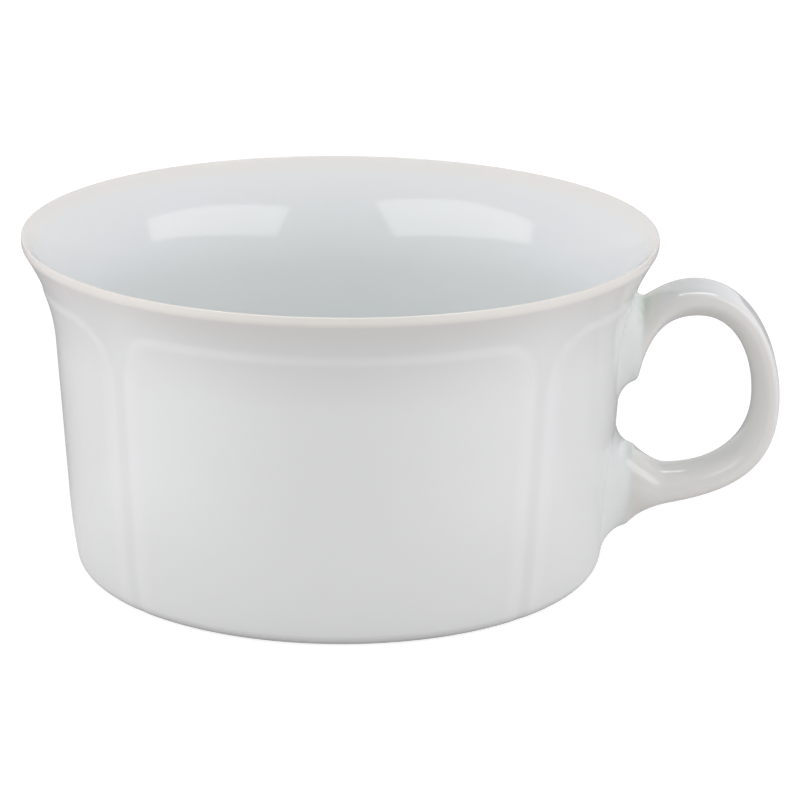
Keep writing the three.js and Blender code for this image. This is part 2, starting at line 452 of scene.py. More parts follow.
def soften(rings: list[Ring], times: int) -> None:
    """Evens out the bends from ring to ring, with the first and the last one held.

    Args:
        rings: Neighbouring rings of a loft.
        times: How often they are evened out.
    """
    for _ in range(times):
        for before, ring, after in zip(rings, rings[1:], rings[2:]):
            for first, vert, last in zip(before, ring, after):
                vert.co = vert.co * 0.5 + (first.co + last.co) * 0.25


def cap_ends(bm: bmesh.types.BMesh, sides: int) -> None:
    """Closes the open ends of a loft with flat faces that keep a sharp edge.

    Args:
        bm: Bmesh with the open loft.
        sides: Points in an end ring.
    """
    ends = [edge for edge in bm.edges if edge.is_boundary]
    bmesh.ops.holes_fill(bm, edges=ends, sides=sides)
    for edge in ends:
        edge.smooth = False


def oval(angle: float, power: float) -> tuple[float, float]:
    """The point of a unit oval that is squarer than a circle.

    Args:
        angle: Angle round the oval.
        power: 2 for a circle, more for a squarer oval.

    Returns:
        Its two coordinates, each from -1 to 1.
    """
    cosine, sine = math.cos(angle), math.sin(angle)
    share = 2.0 / power
    return math.copysign(abs(cosine) ** share, cosine), math.copysign(abs(sine) ** share, sine)


def heading(degrees: float) -> Vector:
    """The direction at an angle over straight out, as distance from the axis and height."""
    return Vector((math.cos(math.radians(degrees)), math.sin(math.radians(degrees))))


@dataclass(frozen=True)
class Wall:
    """The bowl's wall as a formula: a leaning wall, a flare, a curve in at the foot and raised panels."""

    axis_x: float
    rim_radius: float
    height: float
    lip_round: float = 1.15 * MM
    lip_outer: float = 1.8 * MM
    lip_face: float = 5.0 * MM
    lip_edge: float = 0.2 * MM
    lip_turn: float = math.radians(6.7)
    overhang: float = 4.16 * MM
    flare_height: float = 15.15 * MM
    lean: float = math.radians(3.885)
    thickness: float = 3.0 * MM
    base_round: float = 2.05 * MM
    tuck_height: float = 11.7 * MM
    base_tuck: float = 0.66 * MM
    panels: int = 4
    panel_raise: float = 0.26 * MM
    panel_drop: float = 7.75 * MM
    panel_corner: float = 8.5 * MM
    groove_width: float = 2.4 * MM
    groove_depth: float = 0.09 * MM
    groove_fade: float = 6.8 * MM
    side_edge: float = 1.6 * MM
    top_edge: float = 2.0 * MM

    @classmethod
    def from_frame(cls) -> "Wall":
        """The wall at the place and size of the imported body, a hair inside its box."""
        low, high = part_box(Node.BODY.value)
        hair = 0.001 * MM
        return cls(axis_x=(low.x + high.x) / 2.0, rim_radius=(high.x - low.x) / 2.0 - hair, height=high.z)

    @cached_property
    def slope(self) -> float:
        """Outward run of the straight wall for each unit of height."""
        return math.tan(self.lean)

    @cached_property
    def lip_lean(self) -> float:
        """Outward lean of the flare where it meets the lip."""
        return math.atan(self.slope + 2.0 * self.overhang / self.flare_height)

    @cached_property
    def flare_top(self) -> float:
        """Height at which the flare meets the lip's round."""
        return self.height - self.lip_round * (1.0 + math.sin(self.lip_lean))

    @cached_property
    def flare_start(self) -> float:
        """Height at which the flare leaves the straight wall."""
        return self.flare_top - self.flare_height

    @cached_property
    def flare_radius(self) -> float:
        """Radius at which the flare meets the lip's round."""
        return self.rim_radius - self.lip_round * (1.0 - math.cos(self.lip_lean))

    @cached_property
    def waist_radius(self) -> float:
        """Radius at the top of the straight wall."""
        return self.straight_radius(self.flare_start)

    @cached_property
    def panel_top(self) -> float:
        """Height of the panels' top edge."""
        return self.height - self.panel_drop

    @cached_property
    def corner_start(self) -> float:
        """Height at which the panels' round top corners start."""
        return self.panel_top - self.panel_corner

    @cached_property
    def pitch(self) -> float:
        """Angle from one panel to the next."""
        return 2.0 * math.pi / self.panels

    @cached_property
    def lip_start(self) -> float:
        """Height at which the outside leaves the flare for the lip's outer round, found by halving.

        Returns:
            The height at which that round reaches out just as far as the rim.
        """
        low, high = self.flare_start, self.flare_top
        while high - low > 1e-9:
            z = (low + high) / 2.0
            reach = self.field_radius(z) + self.lip_outer * (1.0 - math.cos(self.flare_lean(z)))
            low, high = (low, z) if reach > self.rim_radius else (z, high)
        return low

    def straight_radius(self, z: float) -> float:
        """Radius of the straight wall's line at a height."""
        return self.flare_radius - self.overhang - self.slope * (self.flare_top - z)

    def field_radius(self, z: float) -> float:
        """Radius of the outside between the panels.

        Args:
            z: Height over the foot.

        Returns:
            The radius from the bowl's axis.
        """
        climb = max(0.0, z - self.flare_start) / self.flare_height
        under = max(0.0, self.base_round - z)
        corner = self.base_round - math.sqrt(max(0.0, self.base_round**2 - under**2))
        tuck = self.base_tuck * (max(0.0, self.tuck_height - z) / self.tuck_height) ** 2
        return self.straight_radius(z) + self.overhang * climb**2 - tuck - corner

    def flare_lean(self, z: float) -> float:
        """Outward lean of the outside at a height."""
        climb = max(0.0, z - self.flare_start) / self.flare_height
        return math.atan(self.slope + 2.0 * self.overhang * climb / self.flare_height)

    def panel_edge(self, angle: float, z: float) -> tuple[float, float]:
        """How far off the nearest panel's edge a place on the wall is, and how much that is a top edge.

        Args:
            angle: Angle round the axis, with a panel's middle at 0.
            z: Height over the foot.

        Returns:
            The distance along the wall, negative on the panel, and 1 for a top edge or 0 for a side.
        """
        half_width = (self.waist_radius * self.pitch - self.groove_width) / 2.0
        off_centre = angle - self.pitch * round(angle / self.pitch)
        across = abs(off_centre) * self.waist_radius - half_width + self.panel_corner
        upward = z - self.corner_start
        beyond = math.hypot(max(across, 0.0), max(upward, 0.0))
        topness = max(upward, 0.0) / beyond if beyond else float(upward > across)
        return beyond + min(max(across, upward), 0.0) - self.panel_corner, topness**2

    def panel_rise(self, angle: float, z: float) -> float:
        """Height of the panels, and of the shallow grooves between them, over the field above them.

        Args:
            angle: Angle round the axis, with a panel's middle at 0.
            z: Height over the foot.

        Returns:
            How far the place stands out of the field.
        """
        distance, topness = self.panel_edge(angle, z)
        width = self.side_edge + (self.top_edge - self.side_edge) * topness
        above = smooth(self.corner_start, self.corner_start + self.groove_fade, z)
        drop = self.groove_depth + (self.panel_raise - self.groove_depth) * above
        return self.panel_raise - drop * smooth(-width / 2.0, width / 2.0, distance)

    def outside_radius(self, angle: float, z: float) -> float:
        """Radius of the outside at a place on the wall."""
        return self.field_radius(z) + self.panel_rise(angle, z)

    def seam_radius(self, reach: float, z: float) -> float:
        """Radius at which a collar that reaches so far out meets the handle."""
        return self.straight_radius(z) + self.panel_raise + reach

    def polar(self, radius: float, angle: float, z: float) -> Vector:
        """The point at an angle round the bowl's axis."""
        return Vector((self.axis_x + radius * math.cos(angle), radius * math.sin(angle), z))


@dataclass(frozen=True)
class Root:
    """One of the handle's two roots on the wall and the fillets of slip round it."""

    name: str
    node: Node
    bottom: float
    top: float
    reach: float
    bottom_fillet: float
    top_fillet: float
    # Share of gathered glaze and painted shade in the notch over the root.
    pooled_and_shaded: float
    side_fillet: float = 4.2 * MM
    width: float = 10.6 * MM
    # Depths under the root's top where that painted shade starts and where it is full.
    pool_and_shade_start: float = 4.5 * MM
    pool_and_shade_full: float = 0.8 * MM

    @classmethod
    def from_frame(
        cls, name: str, node: Node, reach: float, bottom_fillet: float, top_fillet: float, pooled_and_shaded: float
    ) -> "Root":
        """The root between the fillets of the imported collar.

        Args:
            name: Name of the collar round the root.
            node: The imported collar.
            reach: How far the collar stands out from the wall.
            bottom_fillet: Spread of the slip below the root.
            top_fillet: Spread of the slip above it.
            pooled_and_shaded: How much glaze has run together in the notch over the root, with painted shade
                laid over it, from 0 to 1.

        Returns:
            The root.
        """
        low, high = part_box(node.value)
        bottom, top = low.z + bottom_fillet, high.z - top_fillet
        return cls(name, node, bottom, top, reach, bottom_fillet, top_fillet, pooled_and_shaded)

    def pool(self, z: float) -> float:
        """How thick the glaze lies at a height in the notch over the root, with its painted shade, from 0 to
        1.
        """
        return self.pooled_and_shaded * smooth(self.top - self.pool_and_shade_start, self.top - self.pool_and_shade_full, z)

    def spread_from(self, y: float, z: float) -> float:
        """How far off the slip's outer edge a place on the wall is.

        Args:
            y: The place's distance across from the handle's middle plane.
            z: Its height over the foot.

        Returns:
            The distance, negative under the slip.
        """
        low, high = self.bottom - self.bottom_fillet, self.top + self.top_fillet
        half_height = (high - low) / 2.0
        half_width = self.width / 2.0 + self.side_fillet
        upward = abs(z - (low + high) / 2.0) / half_height
        share = (upward**ROOT_POWER + (abs(y) / half_width) ** ROOT_POWER) ** (1.0 / ROOT_POWER)
        return (share - 1.0) * half_width


@dataclass
class CupBody:
    """The bowl, spun from its profile and then pressed with its panels."""

    wall: Wall
    roots: tuple[Root, Root]
    floor_thickness: float = 4.0 * MM
    inside_round: float = 9.0 * MM
    foot_width: float = 3.2 * MM
    foot_recess: float = 1.3 * MM
    foot_slope: float = 1.5 * MM
    foot_round: float = 0.35 * MM
    bare_height: float = 0.12 * MM
    # Gathered glaze with painted shade in the grooves and round the roots, and how far it reaches from the
    # roots.
    groove_pool_and_shade: float = 0.15
    root_pool_and_shade: float = 0.12
    root_pool_and_shade_reach: float = 3.0 * MM
    # A painted highlight along the panels' side edges, where the glaze also lies thinly.
    edge_thin_and_highlight_share: float = 0.5
    # Painted warm bounce light on the outside under the lip.
    under_lip_painted_warmth: float = 0.35
    quarter_columns: int = 120
    crowding: float = 0.6

    def foot(self) -> list[Vector]:
        """The profile of the underside.

        Returns:
            Its points from the middle to the foot ring's outer edge.
        """
        outer = self.wall.field_radius(0.0)
        inner = outer - self.foot_width
        rounded = self.foot_round
        points = [Vector((0.0, 0.0, self.foot_recess))]
        points += [Vector((r, 0.0, self.foot_recess)) for r in steps(0.0, inner - self.foot_slope, 8)]
        points += [Vector((inner - 0.25 * self.foot_slope, 0.0, 0.25 * self.foot_recess))]
        points += [
            Vector((inner + rounded * (1.0 - math.cos(a)), 0.0, rounded * (1.0 - math.sin(a))))
            for a in steps(0.0, QUARTER, 5)
        ]
        points += [Vector((r, 0.0, 0.0)) for r in steps(inner + rounded, outer, 4)]
        return points

    def outside(self) -> list[Vector]:
        """The profile of the outside, closer set where the panels end.

        Returns:
            Its points from the foot's curve to the end of the flare.
        """
        wall = self.wall
        ledge_end = wall.panel_top + wall.top_edge / 2.0
        heights = [wall.base_round * (1.0 - math.cos(a)) for a in steps(0.0, QUARTER, 8)]
        heights += steps(wall.base_round, wall.corner_start, 32)
        heights += steps(wall.corner_start, ledge_end, 30)
        heights += steps(ledge_end, wall.lip_start, 10)
        return [Vector((wall.field_radius(z), 0.0, z)) for z in heights]

    def lip(self) -> list[Vector]:
        """The profile of the lip: a round under it, an upright face and a fine edge.

        Returns:
            Its points from the end of the flare to the start of the inside.
        """
        wall = self.wall
        lean = wall.flare_lean(wall.lip_start)
        widest = Vector((wall.rim_radius, 0.0, wall.lip_start + wall.lip_outer * math.sin(lean)))
        under = widest - Vector((wall.lip_outer, 0.0, 0.0))
        face = widest - Vector((wall.lip_face, 0.0, 0.0))
        tip = Vector((math.cos(wall.lip_turn), 0.0, math.sin(wall.lip_turn)))
        edge = face + tip * (wall.lip_face - wall.lip_edge)

        # The fine edge ends where it leans as the inside does, which a few rounds find from a first guess.
        end = math.radians(140.0)
        for _ in range(8):
            top = edge + wall.lip_edge * Vector((math.cos(end), 0.0, math.sin(end)))
            spare = 2.0 * (wall.thickness - self.lip_thickness(top)) / (top.z - wall.flare_start)
            end = math.pi - math.atan(math.tan(wall.flare_lean(top.z)) + spare)
        rounds = (
            (under, wall.lip_outer, -lean, 0.0, 8),
            (face, wall.lip_face, 0.0, wall.lip_turn, 4),
            (edge, wall.lip_edge, wall.lip_turn, end, 12),
        )
        return [
            centre + radius * Vector((math.cos(a), 0.0, math.sin(a)))
            for centre, radius, first, last, count in rounds
            for a in steps(first, last, count)
        ]

    def lip_thickness(self, top: Vector) -> float:
        """Thickness of the wall where the inside leaves the lip."""
        return self.wall.field_radius(top.z) - top.x

    def inside_radius(self, z: float, top: Vector) -> float:
        """Radius of the inside at a height, given the point where it leaves the lip."""
        wall = self.wall
        share = max(0.0, z - wall.flare_start) / (top.z - wall.flare_start)
        return wall.field_radius(z) - wall.thickness - (self.lip_thickness(top) - wall.thickness) * share**2

    def inside(self, top: Vector) -> list[Vector]:
        """The profile of the inside.

        Args:
            top: The point where it leaves the lip.

        Returns:
            Its further points, down to the floor's middle.
        """
        wall = self.wall
        floor = self.foot_recess + self.floor_thickness
        round_top = floor + self.inside_round
        round_middle = self.inside_radius(round_top, top) - self.inside_round
        centre = Vector((round_middle, 0.0, round_top))
        heights = steps(top.z, wall.flare_start, 14) + steps(wall.flare_start, round_top, 8)
        points = [Vector((self.inside_radius(z, top), 0.0, z)) for z in heights]
        points += [
            centre + self.inside_round * Vector((math.cos(a), 0.0, -math.sin(a)))
            for a in steps(0.0, QUARTER, 12)
        ]
        points += [Vector((r, 0.0, floor)) for r in steps(round_middle, 0.0, 10)]
        return points

    def profile(self) -> list[Vector]:
        """The whole profile, from the middle of the underside over the lip to the floor's middle."""
        points = self.foot() + self.outside() + self.lip()
        return points + self.inside(points[-1])

    def is_outside(self, radius: float, z: float) -> bool:
        """Whether a point of the body belongs to the pressed outside."""
        wall = self.wall
        return z <= wall.lip_start + 1e-6 and radius > wall.field_radius(z) - wall.thickness / 2.0

    def pool(self, angle: float, z: float) -> float:
        """How much glaze has run together at a place on the outside, with painted shade over it.

        Args:
            angle: Angle round the axis.
            z: Height over the foot.

        Returns:
            A share from 0 to 1.
        """
        wall = self.wall
        distance, _ = wall.panel_edge(angle, z)
        under_edge = 1.0 - smooth(wall.corner_start, wall.panel_top, z)
        share = self.groove_pool_and_shade * under_edge * smooth(-0.4 * MM, 0.8 * MM, distance)
        faces_handle = math.cos(angle) > 0.5
        if faces_handle:
            y = wall.waist_radius * math.sin(angle)
            for root in self.roots:
                near = 1.0 - smooth(0.0, self.root_pool_and_shade_reach, root.spread_from(y, z))
                share = max(share, self.root_pool_and_shade * near)
        return share

    def edge(self, angle: float, z: float) -> float:
        """How much glaze has drawn off a panel's side edge at a place on the outside, with a painted
        highlight there.

        Args:
            angle: Angle round the axis.
            z: Height over the foot.

        Returns:
            A share from 0 to 1.
        """
        distance, topness = self.wall.panel_edge(angle, z)
        on_edge = smooth(-4.0 * MM, -1.6 * MM, distance) * (1.0 - smooth(-0.6 * MM, 0.4 * MM, distance))
        return self.edge_thin_and_highlight_share * on_edge * (1.0 - topness)

    def thin_and_warm_light(self, outside: bool, z: float) -> float:
        """How thinly the glaze lies near the lip, with painted warm light under the lip on the outside.

        Args:
            outside: Whether the place is on the outside, up to the lip.
            z: Its height over the foot.

        Returns:
            A share from 0 to 1.
        """
        depth = self.wall.height - z
        if outside:
            # Painted warm bounce light under the lip.
            return self.under_lip_painted_warmth * (1.0 - smooth(2.5 * MM, 6.5 * MM, depth))
        # Glaze laid thinly over the lip and just inside it.
        return 1.0 - smooth(0.6 * MM, 3.4 * MM, depth)

    def build(self) -> bpy.types.Object:
        """Spins a quarter, mirrors it twice, crowds the columns at the grooves and raises the panels.

        Returns:
            The body's object.
        """
        wall = self.wall
        bm = bmesh.new()
        layers = coat_layers(bm)
        verts = [bm.verts.new(point) for point in self.profile()]
        for first, second in zip(verts, verts[1:]):
            bm.edges.new((first, second))
        bmesh.ops.spin(
            bm,
            geom=bm.verts[:] + bm.edges[:],
            cent=(0.0, 0.0, 0.0),
            axis=(0.0, 0.0, 1.0),
            angle=QUARTER,
            steps=self.quarter_columns,
        )
        for axis in ("X", "Y"):
            whole = bm.verts[:] + bm.edges[:] + bm.faces[:]
            bmesh.ops.mirror(bm, geom=whole, matrix=Matrix.Identity(4), merge_dist=1e-7, axis=axis)
        bmesh.ops.remove_doubles(bm, verts=bm.verts[:], dist=1e-7)
        foot_inner = wall.field_radius(0.0) - self.foot_width
        for vert in bm.verts:
            radius = math.hypot(vert.co.x, vert.co.y)
            angle = math.atan2(vert.co.y, vert.co.x)
            angle -= self.crowding * math.sin((angle - wall.pitch / 2.0) * wall.panels) / wall.panels
            z = vert.co.z
            outside = self.is_outside(radius, z)
            if outside:
                radius += wall.panel_rise(angle, z)
                # The surface values carry painted shade, a painted highlight and painted warm light along
                # with the glaze's own variations.
                vert[layers[Coat.POOL_AND_SHADE]] = self.pool(angle, z)
                vert[layers[Coat.EDGE]] = self.edge(angle, z)
            vert[layers[Coat.THIN]] = self.thin_and_warm_light(outside, z)
            if z < self.bare_height and radius > foot_inner:
                vert[layers[Coat.BARE]] = 1.0
            vert.co = wall.polar(radius, angle, z)
        return finish_mesh(bm, "bowl")

    def dress(self, finish: Glaze) -> bpy.types.Object:
        """Builds the bowl and hands it to the frame."""
        return place_piece(self.build(), finish, Slot.PORCELAIN, Node.BODY)


@dataclass(frozen=True)
class Bend:
    """A curve between two points with a heading at each, drawn towards the corner where these cross."""

    start: Vector
    leaving: float
    end: Vector
    arriving: float
    fullness: float

    @cached_property
    def controls(self) -> tuple[Vector, Vector]:
        """The two inner points that draw the curve towards its corner.

        Returns:
            The one after the start and the one before the end.
        """
        out, into = heading(self.leaving), heading(self.arriving)
        gap = self.end - self.start
        run = (gap.x * into.y - gap.y * into.x) / (out.x * into.y - out.y * into.x)
        corner = self.start + out * run
        return self.start.lerp(corner, self.fullness), self.end.lerp(corner, self.fullness)

    def point(self, share: float) -> Vector:
        """The point of the curve at a share of the way along it.

        Args:
            share: From 0 at the start to 1 at the end.

        Returns:
            The point, as distance from the axis and height.
        """
        first, second = self.controls
        rest = 1.0 - share
        ends = rest**3 * self.start + share**3 * self.end
        return ends + 3.0 * rest * share * (rest * first + share * second)


@dataclass
class Loop:
    """The loop's form from root to root, in sections that are flat outside and round on the finger side."""

    wall: Wall
    upper: Root
    lower: Root
    reach: float
    crown_top: float
    finger_gap: float = 21.04 * MM
    crown_reach: float = 12.42 * MM
    crown_thickness: float = 5.01 * MM
    arm_reach: float = 7.84 * MM
    arm_dip: float = 2.96 * MM
    heel_reach: float = 7.99 * MM
    heel_rise: float = 4.39 * MM
    back_sag: float = 0.96 * MM
    finger_sag: float = 0.70 * MM
    back_width: float = 9.2 * MM
    brow_heading: float = 38.0
    web_heading: float = 82.3
    arm_heading: float = -169.4
    heel_heading: float = -127.3
    shoulder_heading: float = -231.1
    brow_bend: float = 0.651
    web_bend: float = 0.710
    crown_bend: float = 0.544
    finger_bend: float = 0.579
    back_bend: float = 0.710
    arm_bend: float = 0.591
    heel_bend: float = 0.587
    shoulder_bend: float = 0.555
    outer_power: float = 4.0
    finger_power: float = 2.0
    belly: float = 0.66
    forming: tuple[float, float] = (0.2, 0.9)
    wrap: float = 0.3
    sides: int = 96

    @classmethod
    def from_frame(cls, wall: Wall, upper: Root, lower: Root) -> "Loop":
        """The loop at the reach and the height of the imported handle.

        Args:
            wall: The wall that carries it.
            upper: Its upper root.
            lower: Its lower root.

        Returns:
            The loop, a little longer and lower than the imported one, which softening then draws in.
        """
        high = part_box(Node.HANDLE.value)[1]
        drawn_in = 0.06 * MM
        lowered = 0.03 * MM
        return cls(wall, upper, lower, reach=high.x + drawn_in, crown_top=high.z - lowered)

    @cached_property
    def outlines(self) -> list[tuple[Bend, Bend]]:
        """The loop's outlines in its middle plane.

        Returns:
            The outer and the finger-side curve of each stretch, from the upper root to the lower.
        """
        wall, upper, lower = self.wall, self.upper, self.lower
        crown_under = self.crown_top - self.crown_thickness
        arm_top = lower.top - self.arm_dip
        middle = (crown_under + arm_top) / 2.0
        face = wall.outside_radius(0.0, middle)
        brow = Vector((wall.seam_radius(upper.reach, upper.top), upper.top))
        web = Vector((wall.seam_radius(upper.reach, upper.bottom), upper.bottom))
        shoulder = Vector((wall.seam_radius(lower.reach, lower.top), lower.top))
        heel = Vector((wall.seam_radius(lower.reach, lower.bottom), lower.bottom))
        crown = Vector((face + self.crown_reach, self.crown_top))
        crown_low = Vector((face + self.crown_reach, crown_under))
        outermost = Vector((self.reach - wall.axis_x, middle - self.back_sag))
        innermost = Vector((face + self.finger_gap, middle - self.finger_sag))
        ankle = Vector((face + self.heel_reach, lower.bottom + self.heel_rise))
        arm = Vector((face + self.arm_reach, arm_top))
        return [
            (
                Bend(brow, self.brow_heading, crown, 0.0, self.brow_bend),
                Bend(web, self.web_heading, crown_low, 0.0, self.web_bend),
            ),
            (
                Bend(crown, 0.0, outermost, -90.0, self.crown_bend),
                Bend(crown_low, 0.0, innermost, -90.0, self.finger_bend),
            ),
            (
                Bend(outermost, -90.0, ankle, self.arm_heading, self.back_bend),
                Bend(innermost, -90.0, arm, -180.0, self.arm_bend),
            ),
            (
                Bend(ankle, self.arm_heading, heel, self.heel_heading, self.heel_bend),
                Bend(arm, -180.0, shoulder, self.shoulder_heading, self.shoulder_bend),
            ),
        ]

    @property
    def length(self) -> float:
        """The way along the loop, counted in stretches of its outlines."""
        return float(len(self.outlines))

    def from_root(self, along: float) -> float:
        """The way from the nearer root."""
        return min(along, self.length - along)

    def outline_points(self, along: float) -> tuple[Vector, Vector]:
        """The points of the outer and the finger-side outline at a way along the loop."""
        stretch = min(int(along), len(self.outlines) - 1)
        outer, inner = self.outlines[stretch]
        return outer.point(along - stretch), inner.point(along - stretch)

    def place(self, angle: float, along: float) -> Vector:
        """Where a point of the loop's skin lies.

        Args:
            angle: Angle round the section.
            along: Way along the loop, from 0 at the upper root.

        Returns:
            The point in the part's frame.
        """
        outer, inner = self.outline_points(along)
        from_back = abs(2.0 * along / self.length - 1.0)
        half_width = (self.back_width + (self.upper.width - self.back_width) * from_back**2) / 2.0
        formed = smooth(*self.forming, self.from_root(along))
        power = self.outer_power if math.cos(angle) > 0.0 else self.finger_power
        radial, across = oval(angle, ROOT_POWER + (power - ROOT_POWER) * formed)
        widest = inner.lerp(outer, 0.5 + (self.belly - 0.5) * formed)
        spot = widest + (outer - widest if radial > 0.0 else widest - inner) * radial
        y = across * half_width
        seated = 1.0 - smooth(0.0, self.wrap, self.from_root(along))
        x = spot.x + (math.sqrt(spot.x**2 - y**2) - spot.x) * seated
        return Vector((self.wall.axis_x + x, y, spot.y))


@dataclass
class SlipCollar:
    """A collar of slip that spreads from a root of the handle over the wall and laps onto the handle."""

    loop: Loop
    root: Root
    side_power: float = 1.3
    sunk: float = 0.003 * MM
    rings: int = 36
    crowding: float = 2.5
    lap: float = 0.14
    lap_rings: int = 8
    softened_from: int = 24
    softening: int = 8
    # Least share of gathered glaze and painted shade on the collar, and the lap's warmth: partly thinly laid
    # glaze, partly painted warm reflection.
    least_pool_and_shade: float = 0.12
    lap_thin_and_warm: float = 0.6

    def fillet(self, angle: float, share: float) -> Vector:
        """Where a point of the concave fillet lies.

        Args:
            angle: Angle round the collar's outline, as on the loop's first section.
            share: 0 on the wall, 1 at the root.

        Returns:
            The point in the part's frame.
        """
        root, wall = self.root, self.loop.wall
        radial, across = oval(angle, ROOT_POWER)
        power = 2.0 - (2.0 - self.side_power) * across**2
        spread = 1.0 - (1.0 - (1.0 - share) ** power) ** (1.0 / power)
        upward = radial if root is self.loop.upper else -radial
        fillet = root.top_fillet if upward > 0.0 else root.bottom_fillet
        z = (root.bottom + root.top) / 2.0 + upward * ((root.top - root.bottom) / 2.0 + fillet * spread)
        y = across * (root.width / 2.0 + root.side_fillet * spread)
        turn = math.asin(y / wall.straight_radius(z))
        low = wall.outside_radius(turn, z) - self.sunk
        radius = low + (wall.seam_radius(root.reach, z) - low) * share
        return wall.polar(radius, math.asin(y / radius), z)

    def place(self, angle: float, way: float) -> Vector:
        """Where a point of the collar lies.

        Args:
            angle: Angle round the collar's outline.
            way: Up to 1 on the fillet, and from there to 2 on the lap.

        Returns:
            The point in the part's frame.
        """
        if way <= 1.0:
            return self.fillet(angle, way)
        along = (way - 1.0) * self.lap
        return self.loop.place(angle, along if self.root is self.loop.upper else self.loop.length - along)

    def build(self) -> bpy.types.Object:
        """Lofts the collar from the wall to the lap and softens the bend where the two meet.

        Returns:
            The collar's object.
        """
        bm = bmesh.new()
        layers = coat_layers(bm)
        ways = [(i / self.rings) ** self.crowding for i in range(self.rings + 1)]
        ways += steps(1.0, 2.0, self.lap_rings)
        rings = loft(bm, self.loop.sides, [partial(self.place, way=way) for way in ways])
        soften(rings[self.softened_from : -1], self.softening)
        for ring, way in zip(rings, ways):
            for vert in ring:
                # The notch over the root takes painted shade with its gathered glaze, and the lap painted
                # warm reflection.
                notch = self.root.pool(vert.co.z) * smooth(0.3, 0.9, way)
                vert[layers[Coat.POOL_AND_SHADE]] = max(self.least_pool_and_shade, notch)
                vert[layers[Coat.THIN]] = self.lap_thin_and_warm * smooth(0.9, 2.0, way)
        cap_ends(bm, self.loop.sides)
        return finish_mesh(bm, self.root.name)

    def dress(self, finish: Glaze) -> bpy.types.Object:
        """Builds the collar and hands it to the frame."""
        return place_piece(self.build(), finish, Slot.SLIP, self.root.node)


@dataclass
class Handle:
    """The loop handle, from one collar's lap to the other's."""

    loop: Loop
    lap: float
    rings: int = 160
    softening: int = 12
    # Painted shade with gathered glaze near the roots, and painted warm reflection with thinly laid glaze,
    # most at the roots and on the sides, least on the flat outer face.
    pool_and_shade_end: float = 0.45
    root_end: float = 0.6
    root_thin_and_warm: float = 0.75
    side_thin_and_warm: float = 0.6
    face_thin_and_warm: float = 0.1

    def thin_and_warm_light(self, point: Vector, way: float) -> float:
        """How thinly the glaze lies, with painted warm reflection: less of both on the flat outer face.

        Args:
            point: A point of the handle's skin.
            way: Its way along the loop.

        Returns:
            A share from 0 to 1.
        """
        outer, inner = self.loop.outline_points(way)
        spot = Vector((point.x - self.loop.wall.axis_x, point.z))
        outward = (spot - inner).dot(outer - inner) / (outer - inner).length_squared
        formed = self.side_thin_and_warm + (self.face_thin_and_warm - self.side_thin_and_warm) * smooth(0.8, 0.97, outward)
        near = 1.0 - smooth(self.lap, self.root_end, self.loop.from_root(way))
        return formed * (1.0 - near) + self.root_thin_and_warm * near

    def build(self) -> bpy.types.Object:
        """Lofts the handle and softens its bends.

        Returns:
            The handle's object.
        """
        bm = bmesh.new()
        layers = coat_layers(bm)
        length = self.loop.length
        ways = [self.lap] + steps(self.lap, length - self.lap, self.rings)
        rings = loft(bm, self.loop.sides, [partial(self.loop.place, along=way) for way in ways])
        soften(rings, self.softening)
        for ring, way in zip(rings, ways):
            root = self.loop.upper if way < length / 2.0 else self.loop.lower
            near = 1.0 - smooth(self.lap, self.pool_and_shade_end, self.loop.from_root(way))
            for vert in ring:
                # Painted shade near the roots and painted warm reflection over the whole handle.
                vert[layers[Coat.POOL_AND_SHADE]] = root.pool(vert.co.z) * near
                vert[layers[Coat.THIN]] = self.thin_and_warm_light(vert.co, way)
        cap_ends(bm, self.loop.sides)
        return finish_mesh(bm, "loop_handle")

    def dress(self, finish: Glaze) -> bpy.types.Object:
        """Builds the handle and hands it to the frame."""
        return place_piece(self.build(), finish, Slot.PORCELAIN, Node.HANDLE)


@dataclass(frozen=True)
class Softbox:
    """A soft lamp that hangs at a place round the cup and faces it."""

    name: str
    turn: float
    lift: float
    width: float
    height: float
    radiance: float
    yaw: float = 0.0
    roll: float = 0.0
    colour: Colour = (0.995, 1.0, 0.975)
    only_gloss: bool = False
    distance: float = 0.9
    aim_height: float = 0.03

    def hang(self) -> None:
        """Makes the lamp, with its face as bright as its radiance, where 1 is white."""
        data = bpy.data.lights.new(self.name, "AREA")
        data.shape = "RECTANGLE"
        data.size = self.width
        data.size_y = self.height
        data.energy = self.radiance * math.pi * self.width * self.height
        data.color = self.colour
        lamp = bpy.data.objects.new(self.name, data)
        lamp.visible_diffuse = not self.only_gloss
        aim = Matrix.Translation((0.0, 0.0, self.aim_height))
        spin = Matrix.Rotation(math.radians(self.turn), 4, "Z")
        tip = Matrix.Rotation(math.radians(90.0 - self.lift), 4, "X")
        out = Matrix.Translation((0.0, 0.0, self.distance))
        yaw = Matrix.Rotation(math.radians(-self.yaw), 4, "Y")
        roll = Matrix.Rotation(math.radians(self.roll), 4, "Z")
        lamp.matrix_world = aim @ spin @ tip @ out @ yaw @ roll
        bpy.context.scene.collection.objects.link(lamp)
        log.info("%s hangs at %.0f degrees", self.name, self.turn)


